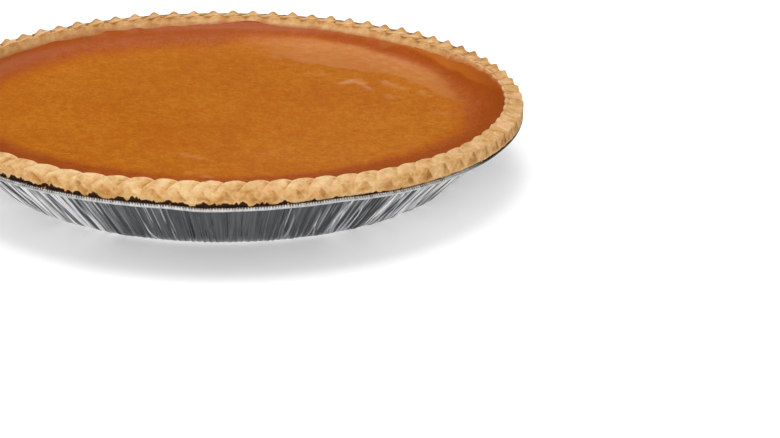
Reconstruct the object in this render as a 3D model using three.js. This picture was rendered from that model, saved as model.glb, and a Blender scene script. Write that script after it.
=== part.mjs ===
// A whole pumpkin pie baked in its own foil tin.
//
// Three pieces, one inside the other: the foil tin with its pleated wall and rolled bead, the
// crust that lines the tin and stands over its rim as a ring of slanted crimps, and the set
// custard filling, dished in the middle and climbing a little where it meets the crust.
// Millimetres, +Z up, origin at the centre of the tin's floor on the surface it stands on.

import * as THREE from 'three';

// ---- Driving dimensions ---------------------------------------------------------------------

// foil tin
const RIM_RADIUS = 152;            // outside of the rolled bead
const BEAD_RADIUS = 1.0;           // section of the bead
const BEAD_HEIGHT = 32.4;          // centre of the bead above the floor
const WALL_FOOT_RADIUS = 115.2;    // the wall's slope carried down to the floor
const WALL_TOP_RADIUS = 145.6;     // the same slope at the bead's height
const FLOOR_CORNER = 21;           // radius of the soft corner between floor and wall
const FOIL = 0.6;                  // thickness given to the foil
const FLANGE_DROP = 0.3;           // underside of the flange below the bead's centre
const PLEAT_DEPTH = 0.9;           // how far a pleat stands out from the wall
const PLEATS_FULL_AT = 7;          // height from which the pleats have their full depth

// crust
const CRUST = 4;                   // thickness of the pastry lining
const CRIMPS = 80;                 // crimps round the rim
const CRIMP_START = 1.25;          // angle of crimp 0, degrees from +X
const CRIMP_LEAN = 0.35;           // pitches by which a crease leans back from lip to teeth
const FRONT_LEAN = 0.2;            // and further in front
const LIP_AHEAD = 0.35;            // pitches by which the lip's notches run ahead at the right
const LIP_SCALLOP = 1.2;           // how much further out those notches reach
const BACK_DIP = 0.7;              // how much deeper creases are at the back's shoulder
const CRIMP_UNEVEN = 0.4;          // largest chance lift of one crimp
const SHOULDER_RADIUS = 147.8;     // between lip and teeth

// filling
const FILLING_LEVEL = 28.5;        // level middle of the filling
const DISH_RADIUS = 108;           // from here the filling climbs to the crust

// clearance left between neighbouring pieces
const GAP = 0.35;

// uneven spacing of the crimps: waves round the rim, degrees high, crimp at the wave's top
const CRIMP_DRIFT = [
  [1, 3.90, -28.2], [2, 1.36, 15.8], [3, 0.31, 9.9], [4, 0.42, -5.4], [5, 0.43, 7.0]];

// how far the tin's rim is bent up or down: degrees from +X, millimetres
const TIN_BEND = [
  [-180, 0], [-110, 0.1], [-95, 0.2], [-88, -0.75], [-80, -0.4], [-72, 0.1], [-65, 0.45],
  [-59, -0.2], [-52, -0.75], [-43, -0.8], [-33, -0.4], [-22, 0.1], [-8, 0.3], [20, 0.2],
  [60, 0], [180, 0]];
const BEND_FROM = 110;             // the floor stays flat inside this radius
const BEND_FULL = 145;

// The uneven rim by side: degrees from +X, then radius and height of the filling's edge, radius
// and height of the lip, depth of its notches, height of the shoulder, radius and height of the
// teeth, depth between the teeth, and height of the lower edge above an even bead.
const RIM_SIDES = [
  [-180, 141.0, 36.0, 143.6, 41.0, 1.0, 40.7, 150.6, 40.8, 3.0, 34.2],
  [-110, 141.3, 36.2, 143.6, 42.0, 1.2, 41.2, 150.6, 40.4, 1.2, 34.2],
  [-92, 141.4, 36.4, 143.6, 42.7, 1.3, 41.6, 150.6, 40.3, 1.1, 34.3],
  [-84, 141.4, 36.4, 143.6, 42.2, 1.3, 41.3, 150.6, 40.2, 1.1, 34.0],
  [-72, 141.4, 36.4, 143.6, 42.4, 1.1, 41.4, 150.6, 40.3, 1.0, 33.9],
  [-62, 141.4, 36.6, 143.6, 41.7, 0.9, 40.9, 150.6, 40.1, 0.8, 33.9],
  [-52, 141.3, 36.8, 143.4, 41.1, 0.6, 40.5, 150.8, 39.9, 0.6, 33.9],
  [-43, 141.2, 37.0, 143.2, 40.6, 0.4, 40.2, 150.9, 39.8, 0.5, 33.9],
  [-33, 141.1, 37.2, 143.0, 40.6, 0.4, 40.1, 151.1, 39.7, 0.5, 33.9],
  [-22, 141.3, 37.2, 142.9, 41.0, 0.5, 40.2, 151.3, 39.4, 0.6, 33.9],
  [-8, 142.2, 38.2, 142.8, 40.7, 0.7, 40.0, 151.5, 39.2, 1.0, 33.9],
  [5, 142.2, 38.2, 142.8, 40.4, 0.8, 39.9, 151.4, 39.9, 1.6, 33.9],
  [15, 140.9, 38.2, 142.8, 40.1, 0.8, 39.8, 151.0, 40.6, 2.2, 33.9],
  [23, 139.7, 37.2, 142.6, 39.9, 0.8, 39.7, 150.8, 41.1, 2.8, 34.0],
  [35, 138.9, 35.6, 142.2, 39.4, 0.9, 39.6, 150.8, 41.6, 3.2, 34.2],
  [51, 138.6, 35.3, 142.0, 39.3, 0.9, 39.6, 150.8, 41.7, 3.3, 34.3],
  [65, 139.5, 35.4, 142.5, 39.5, 0.9, 39.8, 150.7, 41.5, 3.0, 34.3],
  [78, 141.0, 35.5, 143.2, 39.7, 0.9, 40.0, 150.6, 41.2, 2.4, 34.3],
  [92, 141.3, 36.4, 143.4, 39.8, 0.9, 40.1, 150.6, 41.2, 2.4, 34.3],
  [110, 141.1, 35.0, 143.4, 39.9, 0.9, 40.2, 150.6, 41.3, 2.4, 34.3],
  [180, 141.0, 36.0, 143.6, 41.0, 1.0, 40.7, 150.6, 40.8, 3.0, 34.2]];

// places along the rim's section, from the filling over lip, shoulder and teeth to the edge
const LIP = 2;
const SHOULDER = 4;
const TEETH = 5;
const EDGE = 7;

// Columns of one crimp as fractions of its pitch: the crease, the top of its steep side, the
// middle and a point down its gentle side.
const CRIMP_PHASES = [0, 0.17, 0.5, 0.8];

// columns round the axis of every plain ring
const COLUMNS = 120;

// ---- Helpers -----------------------------------------------------------------------------------

const TURN = 2 * Math.PI;
const { clamp, degToRad, lerp, radToDeg, smoothstep } = THREE.MathUtils;

// A repeatable chance number from 0 to 1 for a whole number and a seed.
function chance(index, seed) {
  const wave = Math.sin(index * 12.9898 + seed * 78.233) * 43758.5453;
  return wave - Math.floor(wave);
}

// The values of a table at an angle, eased from each of its sides to the next.
function bySide(table, angle) {
  const around = THREE.MathUtils.euclideanModulo(radToDeg(angle) + 180, 360) - 180;
  const after = Math.max(1, table.findIndex(([place]) => place > around));
  const [place, ...values] = table[after - 1];
  const [nextPlace, ...nextValues] = table[after];
  const share = smoothstep(around, place, nextPlace);
  return values.map((value, column) => lerp(value, nextValues[column], share));
}

// 1 at the middle of a side of the pie, falling as half a cosine wave to 0 at its ends; the
// middle and the reach to either end are in degrees.
function swell(angle, middle, reach) {
  const turned = THREE.MathUtils.euclideanModulo(radToDeg(angle) - middle + 180, 360) - 180;
  return 0.5 + 0.5 * Math.cos(Math.PI * Math.min(Math.abs(turned) / reach, 1));
}

function point(angle, radius, height) {
  return new THREE.Vector3(radius * Math.cos(angle), radius * Math.sin(angle), height);
}

// A point given by angle, radius and height, with the bend of the tin's rim in it.
function bentPoint(angle, radius, height) {
  const [bend] = bySide(TIN_BEND, angle);
  return point(angle, radius, height + smoothstep(radius, BEND_FROM, BEND_FULL) * bend);
}

// One ring of points, each placed by a function of its angle.
function ringOf(place) {
  return Array.from({ length: COLUMNS }, (_, column) => place((column / COLUMNS) * TURN, column));
}

// One ring of a turned piece, or a single point where the section lies on the axis.
function plainRing([radius, height]) {
  if (radius === 0) return [new THREE.Vector3(0, 0, height)];
  return ringOf((angle) => bentPoint(angle, radius, height));
}

// Angles of a ring's points and of its first point again after a whole turn, without a jump.
function anglesOf(ring) {
  const first = Math.atan2(ring[0].y, ring[0].x);
  const rest = ring.slice(1).map(({ x, y }) => (
    first + THREE.MathUtils.euclideanModulo(Math.atan2(y, x) - first, TURN)));
  return [first, ...rest, first + TURN];
}

// Closes a row of rings into one skin. The rings run from the axis at the top side, outwards
// and back to the axis underneath. Rings of as many points are joined point by point, others by
// their angles.
function skin(rings) {
  const positions = rings.flat().flatMap((vertex) => vertex.toArray());
  const index = [];
  let start = 0;
  for (let ring = 0; ring + 1 < rings.length; ring += 1) {
    const inner = rings[ring].length;
    const outer = rings[ring + 1].length;
    const next = start + inner;
    const innerPoint = (step) => start + (step % inner);
    const outerPoint = (step) => next + (step % outer);
    const innerSteps = inner === 1 ? 0 : inner;
    const outerSteps = outer === 1 ? 0 : outer;
    const innerAngles = anglesOf(rings[ring]);
    const outerAngles = anglesOf(rings[ring + 1]);
    let a = 0;
    let b = 0;
    while (a < innerSteps || b < outerSteps) {
      const ahead = inner === outer ? b <= a : outerAngles[b + 1] <= innerAngles[a + 1];
      if (b < outerSteps && (a >= innerSteps || ahead)) {
        index.push(innerPoint(a), outerPoint(b), outerPoint(b + 1));
        b += 1;
      } else {
        index.push(innerPoint(a), outerPoint(b), innerPoint(a + 1));
        a += 1;
      }
    }
    start = next;
  }
  const geometry = new THREE.BufferGeometry();
  geometry.setAttribute('position', new THREE.Float32BufferAttribute(positions, 3));
  geometry.setIndex(index);
  geometry.computeVertexNormals();
  return geometry;
}

// ---- Section of the tin and of everything that lines it ------------------------------------------

const WALL_RUN = (WALL_TOP_RADIUS - WALL_FOOT_RADIUS) / BEAD_HEIGHT;
const WALL_ANGLE = Math.atan2(1, WALL_RUN);
const FLOOR_RADIUS = WALL_FOOT_RADIUS - FLOOR_CORNER * Math.tan(WALL_ANGLE / 2);

// Radius of the wall at a height, moved a distance inwards from the tin's outer face.
function wallRadius(height, inset) {
  return WALL_FOOT_RADIUS + height * WALL_RUN - inset / Math.sin(WALL_ANGLE);
}

// Axis, floor's edge, middle and end of the soft corner, moved inwards by the inset.
function floorAndCorner(inset) {
  const radius = FLOOR_CORNER - inset;
  const onCorner = (turn) => [
    FLOOR_RADIUS + radius * Math.sin(turn), FLOOR_CORNER - radius * Math.cos(turn)];
  return [[0, inset], onCorner(0), onCorner(WALL_ANGLE / 2), onCorner(WALL_ANGLE)];
}

const FLANGE_TOP = BEAD_HEIGHT + FLANGE_DROP;
const FLANGE_UNDERSIDE = FLANGE_TOP - FOIL;
const BEAD_CENTRE = RIM_RADIUS - BEAD_RADIUS;

function foilMaterial() {
  return new THREE.MeshStandardMaterial({ color: 0x9c9c9a, roughness: 0.35, metalness: 1 });
}

// One ring of the pleated outer wall: every other column stands out by a chance depth, and the
// pleats die out down the soft corner.
function pleatedRing([radius, height]) {
  return ringOf((angle, column) => {
    const depth = column % 2 === 0 ? 0 : PLEAT_DEPTH * lerp(0.3, 1, chance(column, 1));
    return bentPoint(angle, radius + depth * smoothstep(height, 0, PLEATS_FULL_AT), height);
  });
}

// The foil tin: smooth inside, pleated outside, with a flange and a rolled bead.
function makeTin() {
  const bead = (degrees) => [
    BEAD_CENTRE + BEAD_RADIUS * Math.cos(degToRad(degrees)),
    BEAD_HEIGHT + BEAD_RADIUS * Math.sin(degToRad(degrees))];
  const inside = [
    ...floorAndCorner(FOIL),
    [wallRadius(FLANGE_TOP, FOIL), FLANGE_TOP],
    [BEAD_CENTRE - BEAD_RADIUS, FLANGE_TOP],
    bead(90), bead(0), bead(-90),
    [BEAD_CENTRE - BEAD_RADIUS, FLANGE_UNDERSIDE],
  ].map(plainRing);
  const [axis, floorEdge, cornerMiddle, cornerEnd] = floorAndCorner(0);
  const wallTop = [wallRadius(FLANGE_UNDERSIDE, 0), FLANGE_UNDERSIDE];
  const outside = [wallTop, cornerEnd, cornerMiddle, floorEdge].map(pleatedRing);
  return new THREE.Mesh(skin([...inside, ...outside, plainRing(axis)]), foilMaterial());
}

// ---- Crust ---------------------------------------------------------------------------------------

// Angle of a crimp counted from crimp 0: even steps and the slow drift of their spacing.
function crimpAngle(number) {
  const drift = CRIMP_DRIFT.reduce((sum, [count, height, at]) => (
    sum + height * Math.cos((TURN * count * (number - at)) / CRIMPS)), 0);
  return degToRad(CRIMP_START + drift) + (TURN * number) / CRIMPS;
}

// How far a crimp has risen from its crease at a phase: a flat arch at the lip, a shingle that
// steps up and falls slowly at the shoulder, and a straight-sided peak at the teeth. At the right
// round ribs that run straight outwards take the place of the shingles.
function crimpRise(phase, station, lean, ribbed) {
  const arch = Math.sin(Math.PI * phase) ** 0.6;
  const fall = clamp((phase - 0.15) / 0.85, 0, 1) ** 1.6;
  const shingle = smoothstep(phase, 0, 0.17) * (1 - fall);
  const tooth = 1 - Math.abs(2 * phase - 1);
  if (station <= LIP) return arch;
  const turned = phase - lean - 0.28 - (0.34 * (station - 2.2)) / 2.7;
  const rib = Math.sin(Math.PI * (turned - Math.floor(turned))) ** 0.5;
  return station <= SHOULDER ? lerp(shingle, rib, ribbed) : tooth;
}

// The rim's section at an angle over the top of a crimp and along the crease beside it, station
// by station as [radius, height].
function rimStations(angle) {
  const [startRadius, startHeight, lipRadius, lipHeight, notch, shoulder, toothRadius,
    toothHeight, toothDepth, evenEdge] = bySide(RIM_SIDES, angle);
  const edge = evenEdge + bySide(TIN_BEND, angle)[0];
  const troughRadius = lerp(lipRadius, SHOULDER_RADIUS, 0.4);
  const trough = 0.5 * (lipHeight + shoulder) - 0.15;
  const valley = toothHeight - toothDepth;
  const scallop = LIP_SCALLOP * swell(angle, 5, 42);
  const dip = BACK_DIP * smoothstep(Math.sin(angle), 0.3, 0.7);
  const ridge = [
    [startRadius, startHeight], [lipRadius - 0.8, lipHeight - 0.9], [lipRadius, lipHeight],
    [troughRadius, trough], [SHOULDER_RADIUS, shoulder], [toothRadius, toothHeight],
    [toothRadius + 0.4, 0.5 * (toothHeight + edge) + 0.3], [toothRadius - 0.2, edge]];
  const groove = [
    [startRadius, startHeight],
    [lipRadius - 0.1 + scallop, lipHeight - 0.9 - 0.7 * notch],
    [lipRadius + 0.7 + scallop, lipHeight - notch], [troughRadius + 0.4, trough - 0.6 * notch],
    [SHOULDER_RADIUS + 0.1, shoulder - 0.7 * notch - dip], [toothRadius - 0.37 * toothDepth, valley],
    [toothRadius - 0.8, 0.5 * (valley + edge)], [toothRadius - 0.7, edge]];
  return { ridge, groove };
}

// How many pitches a crimp is turned back at a station: more in front, and ahead at the lip at
// the right.
function leanAt(angle, station) {
  const back = CRIMP_LEAN + FRONT_LEAN * swell(angle, -65, 85);
  const ahead = LIP_AHEAD * swell(angle, -4, 40);
  return back * clamp((station - 1.5) / (TEETH - 1.5), 0, 1)
    - ahead * (1 - smoothstep(station, LIP, LIP + 0.9));
}

// One ring of the crimped rim at a station of the section.
function crimpRing(station) {
  const raised = Math.sin((Math.PI * station) / EDGE);
  const points = [];
  for (let crimp = 0; crimp < CRIMPS; crimp += 1) {
    for (const phase of CRIMP_PHASES) {
      const upright = crimpAngle(crimp + phase);
      const lean = leanAt(upright, station);
      const ribbed = smoothstep(swell(upright, 17, 42), 0.15, 0.6);
      const rise = crimpRise(phase, station, lean, ribbed);
      const { ridge, groove } = rimStations(upright);
      const lift = raised * CRIMP_UNEVEN * rise * (2 * chance(crimp, 2) - 1);
      points.push(point(
        crimpAngle(crimp + phase - lean),
        lerp(groove[station][0], ridge[station][0], rise),
        lerp(groove[station][1], ridge[station][1], rise) + lift));
    }
  }
  return points;
}

function crustMaterial() {
  return new THREE.MeshStandardMaterial({ color: 0xcda069, roughness: 0.85, metalness: 0 });
}

// The crust: lining of even thickness, rim of crimps, underside resting over the flange.
function makeCrust() {
  const outerInset = FOIL + GAP;
  const innerInset = outerInset + CRUST;
  const lining = floorAndCorner(innerInset);
  const bendHeight = BEAD_HEIGHT;
  const inner = [...lining, [wallRadius(bendHeight, innerInset), bendHeight]];
  const rimRings = Array.from({ length: EDGE + 1 }, (_, station) => crimpRing(station));
  const seat = FLANGE_TOP + GAP;
  const outer = [
    [148.0, seat + GAP],
    [wallRadius(seat, outerInset), seat],
    ...floorAndCorner(outerInset).reverse(),
  ];
  const rings = [...inner.map(plainRing), ...rimRings, ...outer.map(plainRing)];
  return new THREE.Mesh(skin(rings), crustMaterial());
}

// ---- Filling ---------------------------------------------------------------------------------------

// A ring of the filling's top at a share of the way from the level middle to the crust, where
// it has climbed as a parabola and a much steeper last part.
function fillingRing(climb) {
  return ringOf((angle) => {
    const [edge, height] = bySide(RIM_SIDES, angle);
    const climbed = 0.66 * climb ** 2 + 0.34 * climb ** 9;
    return point(
      angle, lerp(DISH_RADIUS, edge - GAP, climb), lerp(FILLING_LEVEL, height, climbed));
  });
}

function fillingMaterial() {
  return new THREE.MeshStandardMaterial({ color: 0xbb6f25, roughness: 0.45, metalness: 0 });
}

function makeFilling() {
  const inset = FOIL + GAP + CRUST + GAP;
  const side = [[wallRadius(BEAD_HEIGHT, inset), BEAD_HEIGHT], ...floorAndCorner(inset).reverse()];
  const rings = [
    [new THREE.Vector3(0, 0, FILLING_LEVEL)],
    ...[0, 0.4, 0.7, 0.88, 1].map(fillingRing),
    ...side.map(plainRing),
  ];
  return new THREE.Mesh(skin(rings), fillingMaterial());
}

// ---- The pie -----------------------------------------------------------------------------------------

function named(name, mesh) {
  mesh.name = name;
  return mesh;
}

const pie = new THREE.Group();
pie.add(named('foil_tin', makeTin()));
pie.add(named('crust', makeCrust()));
pie.add(named('filling', makeFilling()));

export default pie;
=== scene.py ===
"""A pumpkin pie in its foil tin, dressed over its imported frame.

Six made surfaces stand for the three solids: a crimped crust with its lining and crumbs, set
custard, and wrinkled foil with a rolled bead. All but the crumbs are grids of two parameters,
the angle round the pie and a place along the section, worked out with numpy in millimetres and
scaled to metres as a mesh.
"""

import math
from types import SimpleNamespace

import bpy
import numpy as np
from mathutils import Matrix, Vector


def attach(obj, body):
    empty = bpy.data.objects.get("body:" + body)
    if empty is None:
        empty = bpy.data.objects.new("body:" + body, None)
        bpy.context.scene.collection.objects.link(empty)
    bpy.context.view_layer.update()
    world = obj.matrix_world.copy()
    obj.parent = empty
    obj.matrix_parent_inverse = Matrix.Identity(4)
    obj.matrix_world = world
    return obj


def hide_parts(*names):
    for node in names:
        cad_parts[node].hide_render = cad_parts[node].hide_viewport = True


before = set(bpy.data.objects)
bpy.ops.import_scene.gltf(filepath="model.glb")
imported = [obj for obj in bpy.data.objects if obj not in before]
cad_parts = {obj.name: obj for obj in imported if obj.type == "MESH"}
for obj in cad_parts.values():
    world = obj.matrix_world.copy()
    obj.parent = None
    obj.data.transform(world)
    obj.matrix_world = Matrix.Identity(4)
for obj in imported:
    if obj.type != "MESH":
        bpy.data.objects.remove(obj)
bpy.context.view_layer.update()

MM = 0.001
TURN = 2 * math.pi

# ---- Sizes in millimetres, as the frame has them ----

RIM_RADIUS = 152.0
CRUST_TOP = 42.72
BEAD_RADIUS = 1.0
BEAD_HEIGHT = 32.4
WALL_FOOT_RADIUS = 115.2  # the wall's slope carried down to the floor
WALL_TOP_RADIUS = 145.6  # and up to the bead's middle
FLOOR_CORNER = 21.0  # radius of the soft corner between floor and wall
FOIL = 0.25  # foil drawn a little thicker than the real 0.1
FLANGE_HEIGHT = 32.45
CRUST_CLEARANCE = 0.95  # crust's outer face from the foil's
LINING = 4.95  # crust's inner face from the foil's

CRIMPS = 80
CRIMP_START = math.radians(1.25)
CREASE_GATHER = 0.045  # how far columns gather towards the creases, in crimps
# uneven spacing of the crimps: waves round the rim, degrees high, and the crimp at their top
CRIMP_DRIFT = ((1, 3.90, -28.2), (2, 1.36, 15.8), (3, 0.31, 9.9), (4, 0.42, -5.4), (5, 0.43, 7.0))
CRIMP_LEAN = 0.35  # how far a crease leans back between lip and teeth, in crimps
FRONT_LEAN = 0.2  # and further in front
LIP_AHEAD = 0.35  # how far the lip's notches run ahead at the right, in crimps
CRIMP_UNEVEN = 0.40  # how much higher or lower a crimp may be
RIB_START = 0.28  # phase of the straight ribs at the shoulder
RIB_TURN = 0.34 / 2.7  # and how it goes on along the section, in crimps a station
LIP_SCALLOP = 1.2  # how far the lip's creases cut back at the right
BACK_DIP = 0.7  # how much deeper the shoulder's creases are behind
TOOTH_BASE = 6.4  # place along the section where a tooth's two facets end
BASE_WIDTH = 0.40  # half the width of a tooth there, in crimps

FILLING_LEVEL = 28.5  # custard's top in the middle
DISH_RADIUS = 108.0  # where it starts to climb

FOLD_STAND = 0.8  # how far the foil's folds stand out on the whole
FOLD_INMOST = -0.1  # and the least, inside the plain wall
CREASE_DEPTH = 0.42  # creases stand out, or in, by 0.4 to 1.4 times this
BEAD_SEAM = math.radians(200)  # where the bead's section starts and ends, below and inside

# how far the tin's rim is bent up or down: degrees from the right, millimetres, and the radii
# between which the bend grows from nothing to its full height
BEND_FROM, BEND_FULL = 110.0, 145.0
TIN_BEND = np.array([(-180, 0.0), (-110, 0.1), (-95, 0.2), (-88, -0.75), (-80, -0.4), (-72, 0.1),
                     (-65, 0.45), (-59, -0.2), (-52, -0.75), (-43, -0.8), (-33, -0.4),
                     (-22, 0.1), (-8, 0.3), (20, 0.2), (60, 0.0), (180, 0.0)])

# the uneven rim by side: degrees from the right, then in millimetres the radius and height of the
# custard's edge, radius and height of the lip, depth of its notches, height of the shoulder,
# radius and height of the teeth, depth between the teeth, and height of the lower edge
RIM_SIDES = np.array([
    (-180, 141.0, 36.0, 143.6, 41.0, 1.0, 40.7, 150.6, 40.8, 2.2, 34.2),
    (-110, 141.3, 36.2, 143.6, 42.0, 1.2, 41.2, 150.6, 40.4, 1.2, 34.2),
    (-92, 141.4, 36.4, 143.6, 42.7, 1.3, 41.6, 150.6, 40.3, 1.1, 34.3),
    (-84, 141.4, 36.4, 143.6, 42.2, 1.3, 41.3, 150.6, 40.2, 1.1, 34.0),
    (-72, 141.4, 36.4, 143.6, 42.4, 1.1, 41.4, 150.6, 40.3, 1.0, 33.9),
    (-62, 141.4, 36.6, 143.6, 41.7, 0.9, 40.9, 150.6, 40.1, 0.8, 33.9),
    (-52, 141.3, 36.8, 143.4, 41.1, 0.6, 40.5, 150.8, 39.9, 0.6, 33.9),
    (-43, 141.2, 37.0, 143.2, 40.6, 0.4, 40.2, 150.9, 39.8, 0.5, 33.9),
    (-33, 141.1, 37.2, 143.0, 40.6, 0.4, 40.1, 151.1, 39.7, 0.5, 33.7),
    (-22, 141.3, 37.2, 142.9, 41.0, 0.5, 40.2, 151.3, 39.4, 0.6, 33.6),
    (-8, 142.2, 38.2, 142.8, 40.7, 0.7, 40.0, 151.6, 39.2, 1.0, 33.4),
    (5, 142.2, 38.2, 142.8, 40.4, 0.8, 39.9, 151.6, 39.9, 1.6, 33.4),
    (15, 140.9, 38.2, 142.8, 40.1, 0.8, 39.8, 151.2, 40.6, 2.2, 33.6),
    (23, 139.7, 37.2, 142.6, 39.9, 0.8, 39.7, 150.8, 41.1, 2.8, 34.0),
    (35, 138.9, 35.6, 142.2, 39.4, 0.9, 39.6, 150.8, 41.6, 3.2, 34.2),
    (51, 138.6, 35.3, 142.0, 39.3, 0.9, 39.6, 150.8, 41.7, 3.3, 34.3),
    (65, 139.5, 35.4, 142.5, 39.5, 0.9, 39.8, 150.7, 41.5, 3.0, 34.3),
    (78, 141.0, 35.5, 143.2, 39.7, 0.9, 40.0, 150.6, 41.2, 2.4, 34.3),
    (92, 141.3, 36.4, 143.4, 39.8, 0.9, 40.1, 150.6, 41.2, 2.4, 34.3),
    (110, 141.1, 35.0, 143.4, 39.9, 0.9, 40.2, 150.6, 41.3, 2.4, 34.3),
    (180, 141.0, 36.0, 143.6, 41.0, 1.0, 40.7, 150.6, 40.8, 3.0, 34.2)])

# places along the rim's section, from the custard over lip, shoulder and teeth to the lower edge
LIP, SHOULDER, TEETH, EDGE = 2, 4, 5, 7
SHOULDER_RADIUS = 147.8
TURN_SOFTNESS = np.array([0.5, 0.7, 0.6, 1.0, 0.9, 0.15, 0.8, 0.5])[:, None, None]
RIM_CORE = (146.3, 36.5)  # middle of the rim's section, relief stands out from it

# underside of the rim, painted dark as burnt and as shade, from the top of the gap over the bead
# back to the custard: radius and height
UNDERSIDE = np.array([(150.0, 33.45), (149.6, 32.75), (144.9, 32.4), (138.9, 32.2)])

# how baked the custard is by side: degrees, radius where it starts to darken, how far to darkest
BAKED_SIDES = np.array([(-180, 118, 20), (-100, 98, 6), (-80, 98, 6), (-65, 99, 7), (-52, 100, 9),
                        (-40, 102, 13), (-30, 106, 18), (-10, 112, 22), (15, 114, 21),
                        (35, 121, 16), (52, 124, 11), (63, 126, 11), (76, 127, 15),
                        (88, 120, 22), (97, 108, 32), (110, 106, 34), (180, 118, 20)])

# painted highlights on the custard, each a stroke: x and y of both ends in millimetres, half
# its width and how strong
GLINT_STROKES = ((58, 51, 63, 54, 2.3, 1.0), (62, 57, 69, 52, 2.1, 1.0), (67, 50, 73, 40, 1.6, 0.6),
              (80, 56, 90, 44, 1.6, 0.6), (82, 32, 85, 26, 1.6, 0.5), (38, 68, 44, 64, 1.3, 0.5),
              (100, 41, 105, 32, 1.5, 0.35), (107, 4, 111, 2, 1.3, 0.3),
              (-20, 75, -18, 69, 1.5, 0.15), (0, 46, 5, 44, 1.2, 0.25),
              (-14, -71, -5, -76, 1.5, 0.5), (-1, -100, 3, -101, 1.3, 0.5),
              (-9, -96, -7, -97, 1.0, 0.3), (23, -67, 26, -68, 1.0, 0.25))

# the painted sheen on the custard by side: degrees, radius where it starts, strength in hundredths
SHEEN_SIDES = np.array([(-180, 104, 0), (-5, 126, 0), (7, 122, 30), (16, 115, 65), (30, 110, 95),
                       (42, 106, 100), (50, 96, 100), (69, 92, 100), (79, 96, 80), (88, 100, 10),
                       (95, 104, 0), (180, 104, 0)])

# sides of the pie with habits of their own: the middle, and how far each reaches to both sides,
# in degrees from the right, first on the crust, then on the custard and on the foil
NARROW = (95, 80)  # narrow teeth behind
SMOOTH = (-28, 42)  # soft crimps
LEANING = (-65, 85)  # crimps that lean further
LIP_EARLY = (-4, 40)  # notches of the lip that run ahead
RIBBED = (17, 42)  # straight ribs in place of shingles
SCALLOPED = (5, 42)  # a scalloped lip
FLAKY = (-95, 65)  # flaky and paler dough, in front
ON_BEAD = (-18, 45)  # a lower edge that lies on the bead
LOW_EDGE = (-58, 34)  # one that comes low down
EVEN_EDGE = (-50, 35)  # and one that is less ragged
LIT_AND_SHADED_TEETH = (-30, 45)  # teeth with a painted lit facet and a painted shaded one, brighter painted highlights
TANNED = (15, 50)  # browner dough
STAINED = (12, 38)  # crust stained by custard
HIGH_CUSTARD = (8, 34)  # custard that stands higher
LESS_BAKED = (-95, 50)  # a weaker brown ring
FILMED = (40, 50)  # a brown film on the crust
WIDE_FILM = (25, 24)  # and where it is wider
GLINTING = (38, 50)  # painted highlight streaks, drawn out
SHADED_FOIL = (-86, 75)  # flats all painted dark, as shade
NEAR_FOIL = (-92, 75)  # no painted brightness over folds and flats alike
QUIET_FOIL = (-84, 45)  # few painted bright lines
SHADED_BEAD = (-5, 50)  # a bead painted dark, as the shade it mirrors

# how many there are
CRUMBS = 90
FOLDS = 520  # fold lines round the foil
CREASES = 300  # and sharp creases across them
KNURLS = 760  # notches round the bead, 1.25 mm apart

# grid sizes
COLUMNS_PER_CRIMP = 20
RIM_ROWS = (6, 5, 7, 8, 9, 8, 8)
CRUMB_GRID = (5, 7)  # rings, spokes
TIN_COLUMNS = 2640
LINING_COLUMNS = 480
FILLING_COLUMNS = 720
FILLING_ROWS = (46, 54)  # on the dish, on the climb
BEAD_COLUMNS_PER_KNURL = 5
BEAD_ROWS = 14

# ---- Stage, in metres ----

LENS = 78.46
CAMERA_AT = Vector((0.0855, -0.8339, 0.3016))
CAMERA_DOWN = math.radians(21.68)
CAMERA_ROLL = math.radians(1.69)
FLOOR_HALF = 4.0
FLOOR_DROP = 0.0001
SKY_TOP = (0.1, -0.55, 0.83)  # towards the brightest part of the sky
SKY_LEVELS = ((0.12, 0.04), (0.75, 1.0))  # cosine from there and brightness, dimmest first
SKY_STRENGTH = 0.715
# soft boxes: name, place, size, watts
SOFT_BOXES = (("overhead", (-0.1, 0.1, 1.7), 1.2, 16),
              ("front", (-0.3, -1.9, 0.8), 1.2, 13),
              ("back", (0.1, 1.5, 1.2), 0.6, 1.2))


# ---- Numbers and noise ----

def chance(index, seed):
    """A repeatable chance number from 0 to 1: the fraction of a large sine of the index."""
    wave = np.sin(np.asarray(index, float) * 12.9898 + seed * 78.233) * 43758.5453
    return wave - np.floor(wave)


def smoothstep(x, low, high):
    """0 below low, 1 above high, and 3t^2 - 2t^3 of the fraction t between them."""
    t = np.clip((x - low) / (high - low), 0, 1)
    return t * t * (3 - 2 * t)


def even_angles(count):
    """So many even angles round the pie, as one row."""
    return (np.arange(count) / count * TURN)[None, :]


def by_side(angle, table):
    """The values of a table at an angle, eased from each of its sides to the next. Its first
    column is degrees from -180 to 180. Where it has many more, each gives an answer of its own."""
    around = (np.degrees(angle) + 180) % 360 - 180
    place = np.interp(around, table[:, 0], np.arange(len(table)))
    low = np.minimum(place.astype(int), len(table) - 2)
    share = smoothstep(place - low, 0, 1)[..., None]
    values = table[low, 1:] * (1 - share) + table[low + 1, 1:] * share
    return values[..., 0] if values.shape[-1] == 1 else np.moveaxis(values, -1, 0)


def lattice(cell, seed):
    """A chance number from -1 to 1 for each whole-number cell, by mixing its three indices."""
    primes = np.array([73856093, 19349663, 83492791], np.int64)
    mixed = np.bitwise_xor.reduce(cell.astype(np.int64) * primes, axis=-1) + seed * 2654435
    mixed = (mixed ^ (mixed >> 13)) * 1274126177
    mixed = (mixed ^ (mixed >> 16)) & 0xFFFF
    return mixed / 32767.5 - 1


def noise(points, size, seed):
    """Value noise from -1 to 1: chance numbers on a lattice of that cell size, blended over each
    cell by a smooth step along every axis."""
    place = points / size
    low = np.floor(place)
    t = place - low
    t = t * t * (3 - 2 * t)
    total = np.zeros(points.shape[:-1])
    for corner in np.ndindex(2, 2, 2):
        corner = np.array(corner)
        weight = np.prod(np.where(corner, t, 1 - t), axis=-1)
        total += weight * lattice(low + corner, seed)
    return total


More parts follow.
